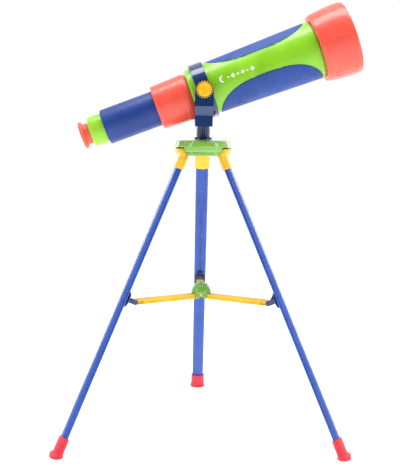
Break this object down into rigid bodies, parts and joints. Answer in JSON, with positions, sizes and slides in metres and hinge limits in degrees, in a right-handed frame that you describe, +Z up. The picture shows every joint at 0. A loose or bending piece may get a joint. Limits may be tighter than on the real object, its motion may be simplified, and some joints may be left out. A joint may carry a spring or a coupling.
{
  "type": "toy telescope on tripod",
  "caption": "Toy refracting telescope with a draw tube and flared hood, held by a tilting yoke on a swivel post over a folding spreader tripod.",
  "frame": {"origin": "middle of the bottom of the bounding box, on the floor that the feet stand on", "axes": "+Z up; the tube lies in an XZ plane with its objective toward +X and raised; the back leg points to +Y"},
  "size_m": [0.374, 0.3136, 0.5416],
  "materials": {
    "coral_plastic": "smooth moulded plastic, soft gloss",
    "coral_rubber": "soft moulded rubber",
    "lime_plastic": "smooth moulded plastic, soft gloss",
    "blue_soft_plastic": "fine matte texture",
    "leg_blue_plastic": "glossy extruded tube",
    "navy_plastic": "polished moulding",
    "yellow_plastic": "moulded plastic",
    "amber_plastic": "moulded plastic",
    "hub_green_plastic": "polished moulding",
    "clear_glass": "polished",
    "black_plastic": "matte black",
    "steel": "plain steel"
  },
  "bodies": {
    "hub": {"hub_top": "hub_green_plastic", "hub_bottom": "hub_green_plastic", "hinge_pin_back": "steel", "hinge_pin_left": "steel", "hinge_pin_right": "steel"},
    "head": {"yoke": "navy_plastic", "pan_post": "navy_plastic", "pan_screw": "steel"},
    "tube": {"body_shell_near": "lime_plastic", "body_shell_far": "lime_plastic", "grip_pad_top": "blue_soft_plastic", "grip_pad_bottom": "blue_soft_plastic", "rear_collar": "coral_plastic", "baffle_disc": "black_plastic", "clamp_ring_upper": "navy_plastic", "clamp_ring_lower": "navy_plastic", "ring_screw_near": "steel", "ring_screw_far": "steel", "friction_washer_near": "black_plastic", "friction_washer_far": "black_plastic"},
    "draw": {"draw_tube": "blue_soft_plastic", "draw_tube_stop": "black_plastic", "eyepiece_barrel": "lime_plastic", "eyecup": "coral_rubber", "eye_lens": "clear_glass", "lens_spacer": "black_plastic", "field_lens": "clear_glass", "eyepiece_snap_ring": "black_plastic"},
    "focus_hood": {"hood": "coral_plastic"},
    "objective": {"lens_cell": "black_plastic", "objective_lens": "clear_glass", "lens_retaining_ring": "black_plastic"},
    "near_knob": {"knob_near": "yellow_plastic", "knob_screw_near": "steel"},
    "far_knob": {"knob_far": "yellow_plastic", "knob_screw_far": "steel"},
    "spreader": {"spreader_hub": "hub_green_plastic", "inner_pin_back": "steel", "inner_pin_left": "steel", "inner_pin_right": "steel"},
    "leg_back": {"leg_socket_back": "amber_plastic", "leg_tube_back": "leg_blue_plastic", "foot_back": "coral_rubber", "bracket_back": "navy_plastic"},
    "leg_left": {"leg_socket_left": "amber_plastic", "leg_tube_left": "leg_blue_plastic", "foot_left": "coral_rubber", "bracket_left": "navy_plastic"},
    "leg_right": {"leg_socket_right": "amber_plastic", "leg_tube_right": "leg_blue_plastic", "foot_right": "coral_rubber", "bracket_right": "navy_plastic"},
    "arm_back": {"spreader_arm_back": "amber_plastic"},
    "arm_left": {"spreader_arm_left": "amber_plastic"},
    "arm_right": {"spreader_arm_right": "amber_plastic"}
  },
  "joints": [
    {"name": "head_pan", "type": "hinge", "parent": "hub", "child": "head", "pos_m": [-0.00773, -0.04822, 0.37255], "axis": [0, 0, 1], "continuous": true},
    {"name": "tube_tilt", "type": "hinge", "parent": "head", "child": "tube", "pos_m": [-0.00773, -0.04822, 0.4325], "axis": [0, -1, 0], "range_deg": [-46, 6]},
    {"name": "draw_slide", "type": "slide", "parent": "tube", "child": "draw", "axis": [0.9348, 0, 0.3551], "range_m": [-0.008, 0.062]},
    {"name": "hood_turn", "type": "hinge", "parent": "tube", "child": "focus_hood", "pos_m": [0.15119, -0.04822, 0.49287], "axis": [0.9348, 0, 0.3551], "range_deg": [-90, 90]},
    {"name": "objective_slide", "type": "slide", "parent": "tube", "child": "objective", "axis": [0.9348, 0, 0.3551], "range_m": [-0.0041, 0.0041]},
    {"name": "near_knob_turn", "type": "hinge", "parent": "tube", "child": "near_knob", "pos_m": [-0.00773, -0.09682, 0.4325], "axis": [0, -1, 0], "continuous": true},
    {"name": "far_knob_turn", "type": "hinge", "parent": "tube", "child": "far_knob", "pos_m": [-0.00773, 0.00038, 0.4325], "axis": [0, 1, 0], "continuous": true},
    {"name": "leg_fold_back", "type": "hinge", "parent": "hub", "child": "leg_back", "pos_m": [-0.00773, -0.02272, 0.3575], "axis": [-1, 0, 0], "range_deg": [0, 10.5]},
    {"name": "leg_fold_left", "type": "hinge", "parent": "hub", "child": "leg_left", "pos_m": [-0.02981, -0.06097, 0.3575], "axis": [0.5, -0.866, 0], "range_deg": [0, 10.5]},
    {"name": "leg_fold_right", "type": "hinge", "parent": "hub", "child": "leg_right", "pos_m": [0.01436, -0.06097, 0.3575], "axis": [0.5, 0.866, 0], "range_deg": [0, 10.5]},
    {"name": "spreader_slide", "type": "slide", "parent": "hub", "child": "spreader", "axis": [0, 0, 1], "range_m": [0, 0.05975]},
    {"name": "arm_fold_back", "type": "hinge", "parent": "spreader", "child": "arm_back", "pos_m": [-0.00773, -0.04022, 0.177], "axis": [-1, 0, 0], "range_deg": [0, 52.76]},
    {"name": "arm_fold_left", "type": "hinge", "parent": "spreader", "child": "arm_left", "pos_m": [-0.01465, -0.05222, 0.177], "axis": [0.5, -0.866, 0], "range_deg": [0, 52.76]},
    {"name": "arm_fold_right", "type": "hinge", "parent": "spreader", "child": "arm_right", "pos_m": [-0.0008, -0.05222, 0.177], "axis": [0.5, 0.866, 0], "range_deg": [0, 52.76]}
  ],
  "couplings": [
    {"joint": "objective_slide", "follows": "hood_turn", "m_per_rad": 0.00255},
    {"joint": "leg_fold_left", "follows": "leg_fold_back", "ratio": 1},
    {"joint": "leg_fold_right", "follows": "leg_fold_back", "ratio": 1},
    {"joint": "spreader_slide", "follows": "leg_fold_back", "m_per_rad": 0.32493},
    {"joint": "arm_fold_back", "follows": "leg_fold_back", "ratio": 5.0152},
    {"joint": "arm_fold_left", "follows": "leg_fold_back", "ratio": 5.0152},
    {"joint": "arm_fold_right", "follows": "leg_fold_back", "ratio": 5.0152}
  ]
}
